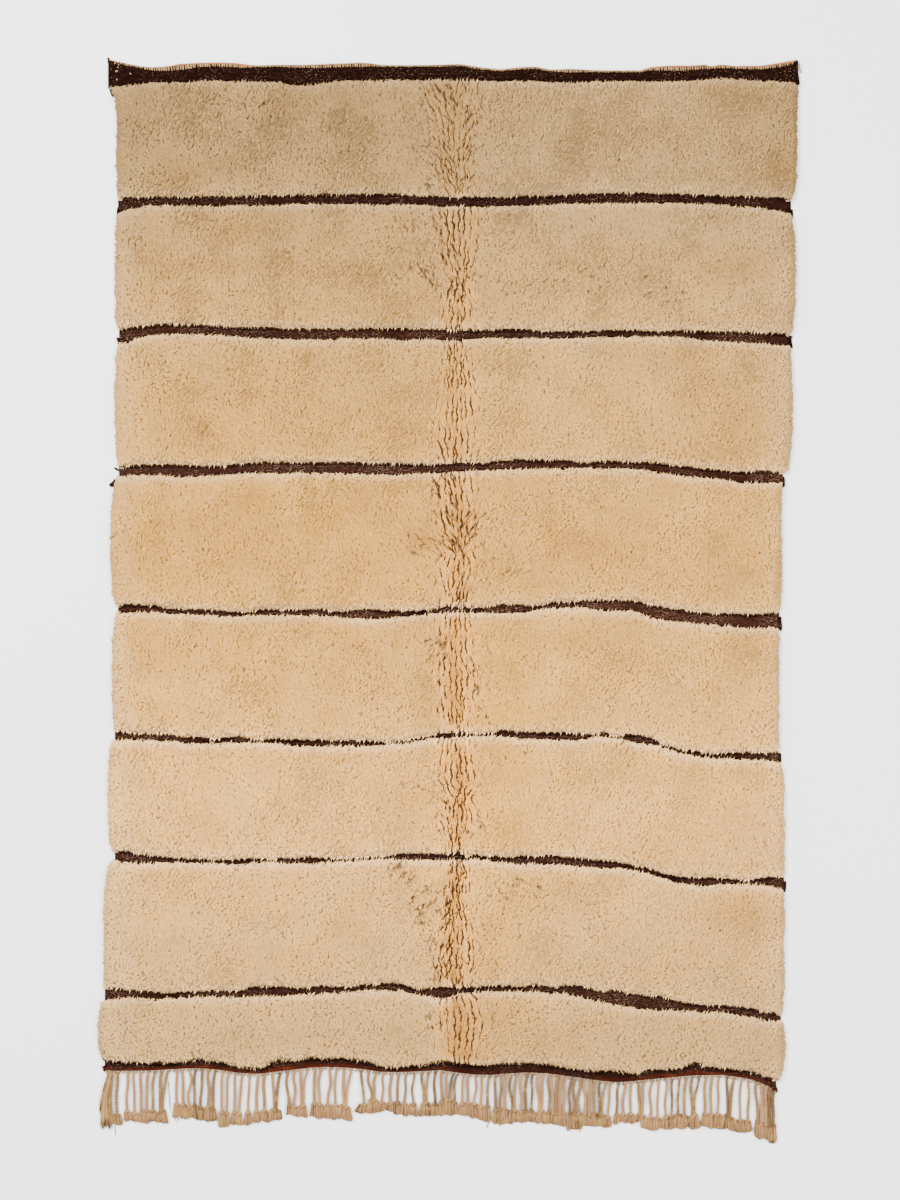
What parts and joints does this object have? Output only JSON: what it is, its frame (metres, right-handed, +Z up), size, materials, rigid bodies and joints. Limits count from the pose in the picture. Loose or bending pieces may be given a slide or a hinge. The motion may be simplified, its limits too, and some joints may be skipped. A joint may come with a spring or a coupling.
{
  "type": "beni ourain rug",
  "caption": "Flat wool shag rug with cream pile panels, brown flat-woven bands, a whipped heading edge and a fringe of knotted cords.",
  "frame": {"origin": "on the floor plane, under the middle of the whole rug with its fringe", "axes": "+X across the rug to the right, seen from above with the heading at the top; +Y from the fringe towards the heading; +Z up out of the pile"},
  "size_m": [2.0407, 3.1452, 0.0302],
  "materials": {
    "pile_wool": "matte cream wool shag",
    "flatweave_wool": "matte dark brown weft-faced wool",
    "edge_wool": "matte whipped wool yarn",
    "fringe_wool": "matte twisted warp yarn"
  },
  "bodies": {
    "root": {"rug": "pile_wool", "heading_edge": "edge_wool", "fringe": "fringe_wool"}
  },
  "joints": []
}
